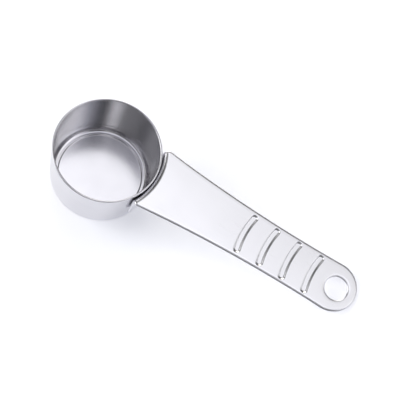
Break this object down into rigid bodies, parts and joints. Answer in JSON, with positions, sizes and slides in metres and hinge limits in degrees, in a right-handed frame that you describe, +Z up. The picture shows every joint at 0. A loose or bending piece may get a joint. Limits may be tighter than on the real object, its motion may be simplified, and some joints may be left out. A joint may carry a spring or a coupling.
{
  "type": "measuring spoon",
  "caption": "Steel measuring scoop: a straight-sided drawn cup with a flat stamped handle, curved grip grooves and a hole for hanging.",
  "frame": {"origin": "centre of the cup's flat base, on its underside", "axes": "+Z up out of the cup's mouth, +X from the cup's axis along the handle to its tip, +Y to complete a right-handed frame"},
  "size_m": [0.1249, 0.0404, 0.0283],
  "materials": {
    "cup_steel": "satin drawn stainless steel, faint turned lines round the cup",
    "handle_steel": "satin stamped stainless steel with tumbled edges",
    "weld_steel": "resolidified stainless steel, dull"
  },
  "bodies": {
    "root": {"cup": "cup_steel", "handle": "handle_steel", "spot_welds": "weld_steel"}
  },
  "joints": []
}
